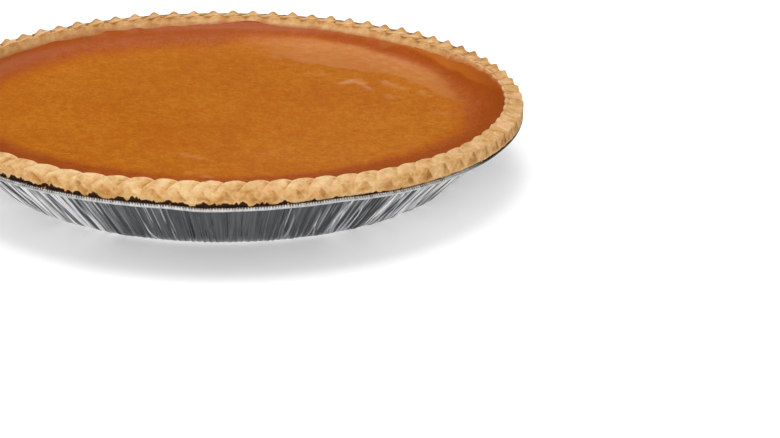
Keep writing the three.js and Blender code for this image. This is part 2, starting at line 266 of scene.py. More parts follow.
def rough(points, size, octaves, seed):
    """Noise added over octaves, each half the size and half the height of the one before."""
    return sum(noise(points, size / 2 ** k, seed + k) / 2 ** k for k in range(octaves))


def along(angle, radius, height):
    """Points in millimetres from angle, radius and height."""
    angle, radius, height = np.broadcast_arrays(angle, radius, height)
    return np.stack([radius * np.cos(angle), radius * np.sin(angle), height], axis=-1)


def bent(points, angle):
    """The bend of the tin's rim: height changes with the angle, not at all inside the floor and
    fully at the rim."""
    radius = np.hypot(points[..., 0], points[..., 1])
    points[..., 2] += smoothstep(radius, BEND_FROM, BEND_FULL) * by_side(angle, TIN_BEND)
    return points


def hump(x, middle, width):
    """1 at the middle, falling to both sides as exp(-t^2), t the distance over the width."""
    return np.exp(-((x - middle) / width) ** 2)


def swell(angle, side):
    """1 at the middle of a side of the pie, falling as half a cosine wave to 0 at its ends."""
    middle, reach = np.radians(side)
    away = np.abs((angle - middle + np.pi) % TURN - np.pi)
    return 0.5 + 0.5 * np.cos(np.pi * np.minimum(away / reach, 1))


def curve_through(stations, place):
    """Points of a line through the stations at each place: a cubic between each two, whose slope
    at a station is that from the one before to the one after, less at a sharp turn."""
    last = len(stations) - 1
    slopes = np.gradient(stations, axis=0) * TURN_SOFTNESS
    low = np.clip(np.floor(place).astype(int), 0, last - 1)
    t = (place - low)[:, None, None]
    return (stations[low] * (1 + 2 * t) * (1 - t) ** 2 + slopes[low] * t * (1 - t) ** 2
            + stations[low + 1] * t * t * (3 - 2 * t) + slopes[low + 1] * t * t * (t - 1))


# ---- Section of the tin and of everything that lines it ----

WALL_RUN = (WALL_TOP_RADIUS - WALL_FOOT_RADIUS) / BEAD_HEIGHT
WALL_ANGLE = math.atan2(1, WALL_RUN)
FLOOR_RADIUS = WALL_FOOT_RADIUS - FLOOR_CORNER * math.tan(WALL_ANGLE / 2)


def wall_radius(height, inset):
    """Radius of the sloping wall at a height, moved inwards by the inset."""
    return WALL_FOOT_RADIUS + height * WALL_RUN - inset / math.sin(WALL_ANGLE)


def floor_and_wall(inset, top, corner_rows, wall_rows):
    """Section from the axis over the floor's edge, round the soft corner as an arc and straight
    up the wall to the top height, as radius and height."""
    radius = FLOOR_CORNER - inset
    turn = np.linspace(0, WALL_ANGLE, corner_rows)
    corner = np.stack([FLOOR_RADIUS + radius * np.sin(turn),
                       FLOOR_CORNER - radius * np.cos(turn)], axis=-1)
    heights = np.linspace(corner[-1, 1], top, wall_rows + 1)[1:]
    wall = np.stack([wall_radius(heights, inset), heights], axis=-1)
    return np.concatenate([[(0.0, inset)], corner, wall])


# ---- Meshes ----

def grid_faces(rows, columns, ring=False):
    """Point numbers round each face of a grid whose columns close on themselves. The rows close
    too if it is a ring, otherwise the first and last row are one point each, with triangles."""
    index = np.arange(rows * columns).reshape(rows, columns)
    if ring:
        index = np.concatenate([index, index[:1]])
    else:
        index[0] = index[0, 0]
        index[-1] = index[-1, 0]
    ahead = np.roll(index, -1, axis=1)
    quads = np.stack([index[:-1], index[1:], ahead[1:], ahead[:-1]], axis=-1)
    if ring:
        return [quads.reshape(-1, 4)]
    return [quads[0][:, [0, 1, 2]], quads[1:-1].reshape(-1, 4), quads[-1][:, [0, 1, 3]]]


def grid_mesh(name, points, ring=False, **values):
    """A closed skin from a grid of points, rows by columns, in millimetres. Its columns go round
    the pie. Values are numbers or vectors, one per point, or one per row or column."""
    rows, columns = points.shape[:2]
    flat = {}
    for label, grid in values.items():
        vector = np.shape(grid)[2:]
        flat[label] = np.broadcast_to(grid, (rows, columns) + vector).reshape((-1,) + vector)
    return skin(name, points.reshape(-1, 3), grid_faces(rows, columns, ring), flat)


def skin(name, points, faces, values):
    """A smooth mesh from points in millimetres, arrays of faces and values for the points. Points
    that no face uses are left out."""
    corners = np.concatenate([face.ravel() for face in faces])
    sizes = np.concatenate([np.full(len(face), face.shape[1]) for face in faces])
    used, corners = np.unique(corners, return_inverse=True)
    mesh = bpy.data.meshes.new(name)
    mesh.vertices.add(len(used))
    mesh.vertices.foreach_set("co", (points[used] * MM).ravel())
    mesh.loops.add(len(corners))
    mesh.loops.foreach_set("vertex_index", corners)
    mesh.polygons.add(len(sizes))
    mesh.polygons.foreach_set("loop_start", np.cumsum(sizes) - sizes)
    mesh.polygons.foreach_set("loop_total", sizes)
    mesh.update(calc_edges=True)
    mesh.validate()
    mesh.polygons.foreach_set("use_smooth", np.ones(len(sizes), bool))
    for label, numbers in values.items():
        kind, field = ("FLOAT_VECTOR", "vector") if numbers.ndim == 2 else ("FLOAT", "value")
        layer = mesh.attributes.new(label, kind, "POINT")
        layer.data.foreach_set(field, numbers[used].astype(np.float32).ravel())
    piece = bpy.data.objects.new(name, mesh)
    bpy.context.scene.collection.objects.link(piece)
    return piece


def dress(piece, node, material):
    """Gives a piece its material and its place in the frame."""
    piece.data.materials.append(material)
    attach(piece, "root")
    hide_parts(node)


# ---- Pastry ----

def crimp_angle(number):
    """Angle of a crimp counted from the right: even steps plus slow waves."""
    drift = sum(height * np.cos(TURN * count * (number - at) / CRIMPS)
                for count, height, at in CRIMP_DRIFT)
    return CRIMP_START + TURN * number / CRIMPS + np.radians(drift)


def crimp_grid():
    """The rim's grid, stations by columns: each point's crimp, its phase from 0 to 1 over the
    crimp, and its angle, which leans back from lip to teeth.

    Columns gather at the creases by a sine. A rib's phase runs straight outwards, so it takes
    the lean off again. The habits of each side are smooth, narrow and ribbed, from 0 to 1."""
    place = np.interp(np.arange(sum(RIM_ROWS) + 1), np.cumsum((0,) + RIM_ROWS), np.arange(EDGE + 1))
    station = place[:, None]
    even = np.arange(COLUMNS_PER_CRIMP) / COLUMNS_PER_CRIMP
    phase = np.tile(even - CREASE_GATHER * np.sin(TURN * even), CRIMPS)[None, :]
    crimp = np.repeat(np.arange(CRIMPS), COLUMNS_PER_CRIMP)[None, :]
    upright = crimp_angle(crimp + phase)
    lean = ((CRIMP_LEAN + FRONT_LEAN * swell(upright, LEANING))
            * np.clip((station - 1.5) / (TEETH - 1.5), 0, 1)
            - LIP_AHEAD * swell(upright, LIP_EARLY) * (1 - smoothstep(station, LIP, LIP + 0.9)))
    return SimpleNamespace(
        place=place, station=station, phase=phase, crimp=crimp, upright=upright,
        angle=crimp_angle(crimp + phase - lean),
        narrow=swell(upright, NARROW),
        smooth=swell(upright, SMOOTH),
        ribbed=smoothstep(swell(upright, RIBBED), 0.15, 0.6),
        rib=(phase - lean - RIB_START - RIB_TURN * (station - 2.2)) % 1)


def facet_width(rim):
    """Half the width of a tooth's two facets on the outer face, in crimps: at the top almost
    nothing, and a quarter where teeth are narrow, growing evenly to the width at the base."""
    tip = 0.03 + 0.22 * rim.narrow
    down = np.clip((rim.station - TEETH) / (TOOTH_BASE - TEETH), 0, 1)
    return tip + (BASE_WIDTH - tip) * down


def facet_mask(rim):
    """1 on a tooth of the outer face, 0 on the vees of dough between the teeth."""
    return 1 - smoothstep(np.abs(rim.phase - 0.5) - facet_width(rim), -0.02, 0.03)


def crimp_rise(rim):
    """How far the dough stands above the crease, from 0 to 1, over one crimp's phase.

    At the lip it is a flat arch, at the shoulder a shingle that steps up at once and then falls
    slowly, and at the teeth a peak with a round top. Where the rim is ribbed the shingle is the
    arch of a straight rib instead, a root of a half sine wave. Below its peak each tooth has two
    flat facets that meet in a ridge and widen downwards, with level vees between."""
    phase, station = rim.phase, rim.station
    arch = np.sin(np.pi * phase) ** 0.6
    shingle = smoothstep(phase, 0, 0.15) * (1 - np.clip((phase - 0.12) / 0.88, 0, 1) ** 1.3)
    shingle = shingle + (np.sin(np.pi * rim.rib) ** 0.5 - shingle) * rim.ribbed
    tooth = np.clip(1.06 - np.hypot((2 * phase - 1) / (1.0 - 0.40 * rim.narrow), 0.14), 0, 1)
    aside = np.clip(np.abs(phase - 0.5) / facet_width(rim), 0, 1)
    facets = 0.55 + facet_mask(rim) * (0.45 - 0.6 * aside)
    to_shingle = smoothstep(station, LIP - 0.2, LIP + 1.2)
    to_tooth = smoothstep(station, SHOULDER - 0.2 - 0.9 * rim.narrow, TEETH - 0.5 * rim.narrow)
    to_facets = smoothstep(station, TEETH, TEETH + 0.5)
    top = arch + (shingle - arch) * to_shingle * (1 - to_tooth) + (tooth - arch) * to_tooth
    return top + (facets - top) * to_facets


def rim_stations(angle):
    """The rim's section at each angle over the top of a crimp and along the crease beside it, as
    radius and height at the custard, lip's edge, lip's top, trough, shoulder, tooth, outer face
    and lower edge. The crease's lip is cut back where the lip is scalloped, and its shoulder is
    lower behind."""
    (start_radius, start_height, lip_radius, lip_height, notch, shoulder, tooth_radius,
     tooth_height, tooth_depth, edge) = by_side(angle, RIM_SIDES)
    edge = edge + by_side(angle, TIN_BEND)
    trough_radius = lip_radius + 0.4 * (SHOULDER_RADIUS - lip_radius)
    trough = 0.5 * (lip_height + shoulder) - 0.15
    wide = np.full_like(angle, SHOULDER_RADIUS)
    valley = tooth_height - tooth_depth
    cut_back = LIP_SCALLOP * swell(angle, SCALLOPED)
    dip = BACK_DIP * smoothstep(np.sin(angle), 0.3, 0.7)
    ridge = ((start_radius, start_height),
             (lip_radius - 0.8, lip_height - 0.9),
             (lip_radius, lip_height),
             (trough_radius, trough),
             (wide, shoulder),
             (tooth_radius, tooth_height),
             (tooth_radius + 0.4, 0.5 * (tooth_height + edge) + 0.3),
             (tooth_radius - 0.2, edge))
    groove = ((start_radius, start_height),
              (lip_radius - 0.1 + cut_back, lip_height - 0.9 - 0.7 * notch),
              (lip_radius + 0.7 + cut_back, lip_height - notch),
              (trough_radius + 0.4, trough - 0.6 * notch),
              (wide + 0.1, shoulder - 0.7 * notch - dip),
              (tooth_radius - 0.37 * tooth_depth, valley),
              (tooth_radius - 0.8, 0.5 * (valley + edge)),
              (tooth_radius - 0.7, edge))
    return np.moveaxis(np.array(ridge), 1, -1), np.moveaxis(np.array(groove), 1, -1)


def crimped_section(rim):
    """Radius, height and rise on the rim's grid: every point lies between the crease's line and
    the ridge's line by the crimp's rise, and each crimp is a little higher or lower by chance."""
    ridge, groove = (curve_through(line, rim.place) for line in rim_stations(rim.upright[0]))
    rise = crimp_rise(rim)
    section = groove + (ridge - groove) * rise[..., None]
    raised = np.sin(np.pi * np.clip(rim.station / EDGE, 0, 1))
    uneven = CRIMP_UNEVEN * (1 - 0.6 * rim.smooth) * (2 * chance(rim.crimp, 2) - 1)
    return section[..., 0], section[..., 1] + raised * uneven * rise, rise


def dough_marks(rim, surface):
    """Marks that the dough's relief and its browning, painted shade and painted highlight share,
    each a number on the rim's grid.

    Creases, pinches and hollows are humps of exp(-t^2) across the phase or the station. The
    hollows behind lie along an arch over each crimp, by the custard at its middle and near the
    shoulder at its ends, and the lumps stand outside that arch."""
    phase, station, angle = rim.phase, rim.station, rim.angle
    front = swell(angle, FLAKY)
    crest = smoothstep(station, LIP - 0.3, LIP + 0.4) * (1 - smoothstep(station, SHOULDER, TEETH))
    far_back = smoothstep(np.sin(angle), 0.35, 0.8)
    crease = hump(np.minimum(phase, 1 - phase), 0, 0.035)
    pinch_phase = 0.82 + 0.10 * (chance(rim.crimp, 5) - 0.5)
    pinch_station = 3.1 + 0.6 * (chance(rim.crimp, 6) - 0.5)
    hollow_at = 0.95 + 2.4 * (1 - np.sin(np.pi * phase) ** 1.2)
    lump = smoothstep(station - hollow_at, 0.3, 0.8) * (1 - smoothstep(station, 4.2, 4.7))
    return SimpleNamespace(
        front=front, crest=crest, far_back=far_back,
        low_front=front * smoothstep(station, 3.0, 5.5),
        behind=smoothstep(np.sin(angle), 0, 0.7),
        outer_face=smoothstep(station, TEETH - 0.15, TEETH + 0.25),
        crease=crease * (0.15 + 0.85 * crest) * (1 - rim.ribbed),
        rib_crease=hump(np.minimum(rim.rib, 1 - rim.rib), 0, 0.06) * crest * rim.ribbed,
        pinch=(hump(phase, pinch_phase, 0.06) * hump(station, pinch_station, 0.2)
               * chance(rim.crimp, 7)),
        hollow=hump(station, hollow_at, 0.45) * far_back,
        lump=lump * far_back,
        crumb=rough(surface, 2.4, 4, 21))


def dough_relief(rim, surface, mark):
    """How far the fine relief stands out of the rim, in millimetres: crumb in four sizes and
    lumps out, hollows, creases, pinches, flakes in front and a dip behind the shoulder in."""
    flaky = np.abs(rough(surface, 1.6, 2, 22)) * mark.front * smoothstep(rim.station, 2.5, 5.0)
    relief = (mark.crumb * (0.12 + 0.18 * mark.low_front)
              - 0.4 * mark.hollow
              + 0.3 * mark.lump
              - (0.28 * mark.crease + 0.9 * mark.pinch) * (1 - 0.8 * rim.smooth)
              - 0.35 * mark.rib_crease
              - 0.45 * hump(rim.station, 4.35, 0.3) * mark.behind
              - 0.25 * flaky)
    return relief * smoothstep(rim.station, 0.3, 1.2)


def lower_edge(rim, radius, height):
    """The rim's lower edge made ragged: slow noise, short bites upwards and drips downwards, on
    the last stations only. At the right front the dough lies on the bead instead."""
    around = along(rim.angle, RIM_RADIUS, 0.0)
    at_edge = smoothstep(rim.station, TEETH + 0.9, EDGE)
    on_bead = swell(rim.angle, ON_BEAD)
    drips = np.clip(noise(around, 3.2, 33) - 0.2, 0, 1) * 3.2
    bites = np.abs(rough(around, 1.9, 2, 32)) * 1.5
    ragged = rough(around, 9.0, 2, 31) * 0.45 + bites - drips
    ragged = ragged * (1 - 0.4 * swell(rim.angle, EVEN_EDGE)) - 0.55 * swell(rim.angle, LOW_EDGE)
    bead_top = BEAD_HEIGHT + BEAD_RADIUS + by_side(rim.angle, TIN_BEND)
    height = height + at_edge * ragged * (1 - on_bead)
    height = height + at_edge * on_bead * (bead_top + 0.05 - height)
    height = np.clip(height, bead_top + 0.03, CRUST_TOP)
    radius = np.minimum(radius + 0.9 * on_bead * at_edge, RIM_RADIUS - 0.03)
    return radius, height


def dough_tones(rim, surface, mark, rise):
    """How browned and how shaded the rim is painted, how stained by custard, how pale its lip's
    edge is, a painted highlight, and where it is rosy, each on the grid. The browning is a sum over
    patches, teeth, lips, the crimps' backs and the far rim; the last four also carry painted shade
    in creases, pinches, hollows and on the teeth's far facets, and painted highlight on edges."""
    phase, station = rim.phase, rim.station
    right_front = swell(rim.angle, LIT_AND_SHADED_TEETH)
    lip_highlight = 1 - smoothstep(np.abs(station - LIP + 0.25), 0.10, 0.50)
    facet = (mark.outer_face * facet_mask(rim)
             * (1 - smoothstep(station, TOOTH_BASE - 0.1, TOOTH_BASE + 0.3)))
    vee_edge = hump(phase, 0.45 - facet_width(rim), 0.04) * mark.outer_face

    patches = (0.30 + 0.14 * rough(surface, 7.0, 3, 41) * (1 - 0.5 * mark.far_back)
               - 0.15 * mark.crumb * (1 - 0.6 * mark.far_back)
               + 0.07 * mark.behind + 0.02 * mark.far_back + 0.02 * mark.low_front
               + 0.08 * swell(rim.angle, TANNED))
    # teeth: browner, with painted shade on each tooth's right facet and a painted highlight along
    # the vees' edges
    teeth = (facet * (0.10 + 0.08 * right_front)
             + facet * smoothstep(phase, 0.47, 0.55) * (0.09 + 0.09 * right_front)
             + facet * mark.front * smoothstep(noise(surface, 4.0, 42), 0.1, 0.6) * 0.20
             - 0.10 * vee_edge * right_front)
    # lips: a painted highlight along the lip's edge
    lips = -(0.12 + 0.10 * right_front) * lip_highlight
    # backs: paler crests in front, painted shade in creases, pinches and before each crease, painted
    # highlight just after each crease and under the ribs' creases
    backs = (-0.11 * mark.front * mark.crest
             + (0.24 * mark.crease + 0.50 * mark.pinch) * (1 - 0.8 * rim.smooth)
             + 0.22 * mark.rib_crease
             + mark.crest * (
                 0.18 * smoothstep(phase, 0.65, 1.0) * (1 - 0.7 * rim.smooth) * (1 - rim.ribbed)
                 - 0.12 * hump(phase, 0.12, 0.08) * (1 - 0.6 * rim.smooth)
                 - 0.10 * smoothstep(rim.rib, 0.75, 0.92) * rim.ribbed))
    # far rim: painted shade in the hollows, on the teeth, in the shoulder's troughs and on the
    # teeth's right side behind; lighter lumps and paler raised parts
    far_rim = (0.26 * mark.hollow - 0.10 * mark.lump
               - 0.16 * hump(station, 0.4, 0.45) * mark.far_back
               + 0.30 * smoothstep(station, TEETH - 0.25, TEETH) * mark.far_back
               + mark.behind * (
                   0.20 * hump(station, SHOULDER - 0.2, 0.4) * (1 - rise)
                   - 0.16 * hump(station, 3.4, 0.5) * smoothstep(rise, 0.3, 0.8)
                   + smoothstep(station, SHOULDER + 0.1, TEETH - 0.2)
                   * (0.12 + 0.26 * smoothstep(phase, 0.45, 0.6))))

    rosy = (0.5 * smoothstep(noise(surface, 5.0, 43), 0.1, 0.7) * smoothstep(station, 1.5, 2.5)
            * (1 - 0.7 * mark.outer_face))
    stain = swell(rim.angle, STAINED)
    stain_ends = 0.6 + stain * (1 + 0.8 * (1 - rise))
    stained = ((1 - smoothstep(station + 0.4 * noise(surface, 4.0, 61), 0.1, stain_ends))
               * (0.45 + 0.55 * stain)
               + 0.25 * smoothstep(noise(surface, 4.5, 62), 0.1, 0.6)
               * (1 - smoothstep(station, 0.9, 1.9)))
    return {"browned": patches + teeth + lips + backs + far_rim,
            "stained": np.clip(stained, 0, 1),
            "lip": np.maximum(lip_highlight * (1 - 0.8 * mark.far_back), rosy)}


def make_crust_rim():
    """The crimped rim as a ring of its own. Its relief stands out from the middle of the rim's
    section. An underside painted dark, partly burnt and partly shade, follows the ragged edge
    closely, so that it ends sharply, and then comes back under the crimps to the custard's edge."""
    rim = crimp_grid()
    radius, height, rise = crimped_section(rim)
    surface = along(rim.angle, radius, height)
    mark = dough_marks(rim, surface)
    tones = dough_tones(rim, surface, mark, rise)
    outward = np.stack([radius - RIM_CORE[0], height - RIM_CORE[1]], -1)
    outward /= np.linalg.norm(outward, axis=-1, keepdims=True)
    relief = dough_relief(rim, surface, mark)
    radius, height = lower_edge(rim, radius + relief * outward[..., 0],
                                height + relief * outward[..., 1])

    edge_angle, edge_radius, edge_height = rim.angle[-1:], radius[-1:], height[-1:]
    bend = by_side(edge_angle, TIN_BEND)
    gap_top = UNDERSIDE[0, 1] + bend
    under_radius = np.concatenate([edge_radius - 0.15, edge_radius - 0.7,
                                   np.minimum(UNDERSIDE[:, :1], edge_radius - 0.9)])
    under_height = np.concatenate([np.maximum(edge_height - 0.12, gap_top),
                                   np.clip(edge_height - 0.1, gap_top, gap_top + 0.25),
                                   UNDERSIDE[:, 1:] + bend])
    points = np.concatenate([along(rim.angle, radius, height),
                             along(edge_angle, under_radius, under_height)])
    tones = {label: np.concatenate([grid, np.full_like(under_radius, 0.4)])
             for label, grid in tones.items()}
    # the underside rows: dark brown, burnt and painted shade
    burnt = np.zeros_like(points[..., 0])
    burnt[len(rim.station):] = 1
    return grid_mesh("crimped_crust", points, ring=True, burnt=burnt, **tones)


def make_crust_lining():
    """The crust under the custard: from the floor's middle up the inside, over to the outer face
    and back down to the axis."""
    angle = even_angles(LINING_COLUMNS)
    inner = floor_and_wall(LINING, BEAD_HEIGHT, 5, 3)
    outer = floor_and_wall(CRUST_CLEARANCE, BEAD_HEIGHT, 5, 3)[::-1]
    section = np.concatenate([inner, outer])
    points = bent(along(angle, section[:, :1], section[:, 1:]), angle)
    same = np.ones(points.shape[:2])
    return grid_mesh("crust_lining", points, browned=0.4 * same, lip=0 * same,
                     stained=0 * same, burnt=0.4 * same)


def make_crumbs():
    """Crumbs that fell from the crust's lower edge onto the bead: small balls, each point pushed
    in or out by chance, most of them small because their size goes with a chance squared."""
    number = np.arange(CRUMBS)
    rings, spokes = CRUMB_GRID
    around = chance(number, 91) * TURN
    size = 0.22 + 0.33 * chance(number, 92) ** 2
    centre = along(around, 150.1 + 1.2 * chance(number, 93), BEAD_HEIGHT + 0.75 + 0.7 * size)
    centre[..., 2] += by_side(around, TIN_BEND)
    down = np.linspace(0, math.pi, rings)[:, None]
    ball = along(even_angles(spokes), np.sin(down), np.cos(down))
    first = number[:, None, None] * rings * spokes
    uneven = 0.6 + 0.8 * chance(first + np.arange(rings * spokes).reshape(rings, spokes), 94)
    points = centre[:, None, None] + ball * (uneven * size[:, None, None])[..., None]
    faces = [(face + first).reshape(-1, face.shape[-1]) for face in grid_faces(rings, spokes)]
    browned = np.repeat(0.3 + 0.5 * chance(number, 95), rings * spokes)
    none = 0 * browned
    return skin("crust_crumbs", points.reshape(-1, 3), faces,
                {"browned": browned, "lip": none, "stained": none, "burnt": none})


# ---- Custard ----

def glint_strokes(flat):
    """Strength of the painted highlight strokes on the custard: exp(-t^2) of the distance from each
    stroke over its width, added up."""
    total = np.zeros(flat.shape[:-1])
    for ax, ay, bx, by, width, strength in GLINT_STROKES:
        run = np.array([bx - ax, by - ay], float)
        off = flat[..., :2] - (ax, ay)
        share = np.clip(off @ run / (run @ run), 0, 1)
        away = np.linalg.norm(off - share[..., None] * run, axis=-1)
        total += strength * hump(away, 0, width)
    return total


def painted_sheen_band(angle, radius, baked):
    """How much painted sheen lies on the custard, from 0: a broad paler ring at one side with an
    uneven inner edge and painted highlight streaks, then single strokes and small marks of painted
    highlight over it."""
    flat = along(angle, radius, 0.0)
    starts, share = by_side(angle, SHEEN_SIDES)
    starts = starts + 1.5 * noise(flat, 9.0, 57) + 1.2 * noise(flat, 4.0, 58)
    ring = (smoothstep(radius, starts, starts + 2.5) * share / 100
            * (1 - smoothstep(baked, 0.1, 0.6)))
    drawn = np.stack(np.broadcast_arrays(angle * RIM_RADIUS / 16, radius / 3.2, 0.0), -1)
    ring = ring * (0.85 + 0.25 * noise(drawn, 0.6, 60)) * (0.95 + 0.25 * noise(flat, 2.6, 64))
    streaks = smoothstep(noise(drawn, 1.0, 59), 0.55, 0.9) * smoothstep(radius, 30, 70)
    near_ring = swell(angle, GLINTING) * smoothstep(radius, 62, 80)
    marks = glint_strokes(flat + 0.8 * noise(flat, 4.0, 63)[..., None])
    sheen_marks = streaks * (0.10 + 0.35 * near_ring) + 2.2 * marks
    return np.clip(ring + sheen_marks * (1 - 0.7 * ring), 0, 2)


def make_filling():
    """The custard as one closed skin. Its top is level in the middle and climbs to the crust as
    a parabola and a much steeper last part; broad swells, and small ripples that gather near the
    crust, go on top. Where it climbed highest it left a thin brown film on the crust."""
    angle = even_angles(FILLING_COLUMNS)
    middle_rows, climb_rows = FILLING_ROWS
    dish = DISH_RADIUS / RIM_RADIUS
    share = np.concatenate([np.linspace(0, dish, middle_rows)[:-1],
                            np.linspace(dish, 1, climb_rows)])[:, None]
    climb = np.clip((share - dish) / (1 - dish), 0, 1)
    edge_radius, edge_height = by_side(angle, RIM_SIDES)[:2]
    edge_height = edge_height + 1.1 * swell(angle, HIGH_CUSTARD)
    radius = share * RIM_RADIUS + climb * (edge_radius + 0.3 - RIM_RADIUS)
    level = FILLING_LEVEL + (edge_height - FILLING_LEVEL) * (0.66 * climb ** 2 + 0.34 * climb ** 9)
    flat = along(angle, radius, 0.0)
    swells = noise(flat, 46.0, 51) * 0.25 + noise(flat, 19.0, 52) * 0.12
    ripples = noise(flat, 6.0, 53) * 0.12 * smoothstep(radius, 80, 138)
    cling = rough(along(angle, RIM_RADIUS, 0.0), 14.0, 3, 54) * 0.4
    level = level + (swells + ripples) * smoothstep(radius, 0, 12) + cling * climb ** 6
    side = floor_and_wall(LINING + 0.05, BEAD_HEIGHT - 1.5, 4, 2)[::-1]
    points = np.concatenate([along(angle, radius, level),
                             along(angle, side[:, :1], side[:, 1:])])

    starts, reach = by_side(angle, BAKED_SIDES)
    baked = smoothstep(radius, starts, starts + reach) + noise(flat, 30.0, 55) * 0.10
    baked = baked * (1 - 0.35 * swell(angle, LESS_BAKED))
    film_starts = 0.93 - 0.12 * swell(angle, WIDE_FILM)
    film = smoothstep(climb + 0.02 * noise(flat, 5.0, 56), film_starts, film_starts + 0.07)
    film = film * swell(angle, FILMED)
    side_rows = np.ones((len(side), 1)) + 0 * angle
    # pale: the painted sheen and highlights, none on the sides
    return grid_mesh("custard", points, baked=np.concatenate([baked, side_rows]),
                     film=np.concatenate([film, side_rows]),
                     pale=np.concatenate([painted_sheen_band(angle, radius, baked), 0 * side_rows]))


# ---- Foil ----

def fold_place(angle, climb):
    """Place among the numbered fold lines of the foil, for angles by climbs up the wall. The
    lines are unevenly spaced and each drifts sideways on the way up."""
    number = np.arange(-1, FOLDS + 1)
    real = number % FOLDS
    start = (number + 0.75 * (chance(real, 61) - 0.5)) / FOLDS * TURN
    drift = (chance(real, 62) - 0.5) * 0.5 / FOLDS * TURN
    return np.array([np.interp(angle[0], start + drift * share, number) for share in climb[:, 0]])


def fold_tone(angle, climb, slivers):
    """How dark the folded foil is painted, from 0 to 1, for the dark it would mirror, and how
    strongly it glints.

    In front the foil is painted dark, as shade, with soft streaks and a few thin painted bright
    fold lines. Towards the sides it is painted paler, flats that face one way more than the others,
    with more painted bright lines along folds and painted glints along creases, and it glints more."""
    place = fold_place(angle, climb)
    flat = np.floor(place).astype(int) % FOLDS
    side = smoothstep(1 - swell(angle, SHADED_FOIL), 0.06, 0.5)
    far = smoothstep(1 - swell(angle, NEAR_FOIL), 0.5, 0.95)
    lined = smoothstep(1 - swell(angle, QUIET_FOIL), 0.02, 0.3)
    soft = noise(along(angle, RIM_RADIUS, climb * 6), 5.0, 66)
    flats = np.where(flat % 2, 0.52, 0.08) + 0.25 * (chance(flat, 68) - 0.5)
    line = np.round(place).astype(int) % FOLDS
    thin = np.clip(1 - np.abs(place - np.round(place)) / 0.25, 0, 1)
    start = chance(line, 73) * 0.9 - 0.3
    part = smoothstep(climb, start, start + 0.15) * (1 - smoothstep(climb, start + 0.5, start + 0.7))
    lines = (chance(line, 70) > 0.97 - 0.3 * lined) * thin * part
    bright = (0.02 + 0.05 * np.clip(soft, 0, 1) + side * flats + 0.40 * far
              + 0.7 * lines + 0.85 * slivers * lined)
    return 1 - np.clip(bright, 0, 1), 0.06 + 0.94 * side


def sharp_creases(angle, climb):
    """Sharp creases across the folds: how far they stand out, in millimetres, and how much painted
    glint each has along its ridge. Each leans, bows as a parabola, and starts and stops part way."""
    height = 0 * angle * climb
    slivers = 0 * angle * climb
    for crease in range(CREASES):
        lean = (chance(crease, 72) - 0.5) * math.radians(3.4)
        bow = (chance(crease, 77) - 0.5) * math.radians(9)
        place = chance(crease, 71) * TURN + lean * (climb - 0.5) + bow * (climb - 0.5) ** 2
        width = math.radians(0.16 + 0.24 * chance(crease, 73))
        away = np.abs((angle - place + np.pi) % TURN - np.pi) / width
        low = chance(crease, 74) * 0.8 - 0.4
        part = smoothstep(climb, low, low + 0.2) * (1 - smoothstep(climb, low + 0.6, low + 0.9))
        sign = 1 if chance(crease, 76) > 0.35 else -1
        depth = sign * CREASE_DEPTH * (0.4 + chance(crease, 75))
        height += depth * np.clip(1 - away, 0, 1) * part
        shine = smoothstep(chance(crease, 78), 0.4, 0.8)
        slivers = np.maximum(slivers, np.clip(1.5 - 3.0 * away, 0, 1) * part * shine)
    return height, slivers


def foil_folds(angle, climb):
    """How far the pleated foil stands out, in millimetres, for angles by climbs up the wall: a
    zigzag over uneven fold lines, each with its own depth at the foot and at the top, and broad
    dents."""
    number = np.arange(FOLDS)
    side = np.where(number % 2, 1, -1)
    place = fold_place(angle, climb)
    before = np.floor(place).astype(int)
    t = place - before
    low, high = (
        depth[before % FOLDS] * (1 - t) + depth[(before + 1) % FOLDS] * t
        for depth in (side * (0.15 + 0.85 * chance(number, seed) ** 1.5) for seed in (63, 64)))
    dents = noise(along(angle, RIM_RADIUS, climb * 30), 24.0, 65) * 0.35
    return low + (high - low) * climb + dents


def make_foil():
    """The foil tin without its bead, one closed thin skin: plain inside, folds outside that die
    out over the soft corner, and a flange up to the bead."""
    angle = even_angles(TIN_COLUMNS)
    inside = floor_and_wall(FOIL, FLANGE_HEIGHT, 4, 2)
    flange_radius = RIM_RADIUS - 2 * BEAD_RADIUS + 0.2
    flange = np.array([(flange_radius, FLANGE_HEIGHT), (flange_radius, FLANGE_HEIGHT - FOIL)])
    outside = floor_and_wall(0.0, FLANGE_HEIGHT - FOIL, 9, 14)[::-1]
    section = np.concatenate([inside, flange, outside])
    climb = np.clip(section[:, 1:] / FLANGE_HEIGHT, 0, 1)
    outer_rows = np.arange(len(section))[:, None] >= len(inside) + len(flange)
    creases, slivers = sharp_creases(angle, climb)
    push = np.maximum(foil_folds(angle, climb) + creases + FOLD_STAND, FOLD_INMOST)
    push = push * smoothstep(section[:, 1:], 0.0, 7.0) * outer_rows
    tone, glint = fold_tone(angle, climb, slivers)
    # painted dark reflection: the folds' painted shade, lightened by painted glints, on the outer
    # face only
    tarnish = tone * smoothstep(section[:, 1:], 0.0, 3.0) * outer_rows
    points = along(angle, section[:, :1] + push * math.sin(WALL_ANGLE),
                   section[:, 1:] - push * math.cos(WALL_ANGLE))
    points[..., 2] = np.maximum(points[..., 2], 0.0)
    drawn = fold_place(angle, climb) / FOLDS * TURN
    grain = along(drawn, RIM_RADIUS * MM, climb * 30 * MM)
    return grid_mesh("foil_tin_wall", bent(points, angle), grain=grain, tarnish=tarnish,
                     glint=glint * outer_rows)


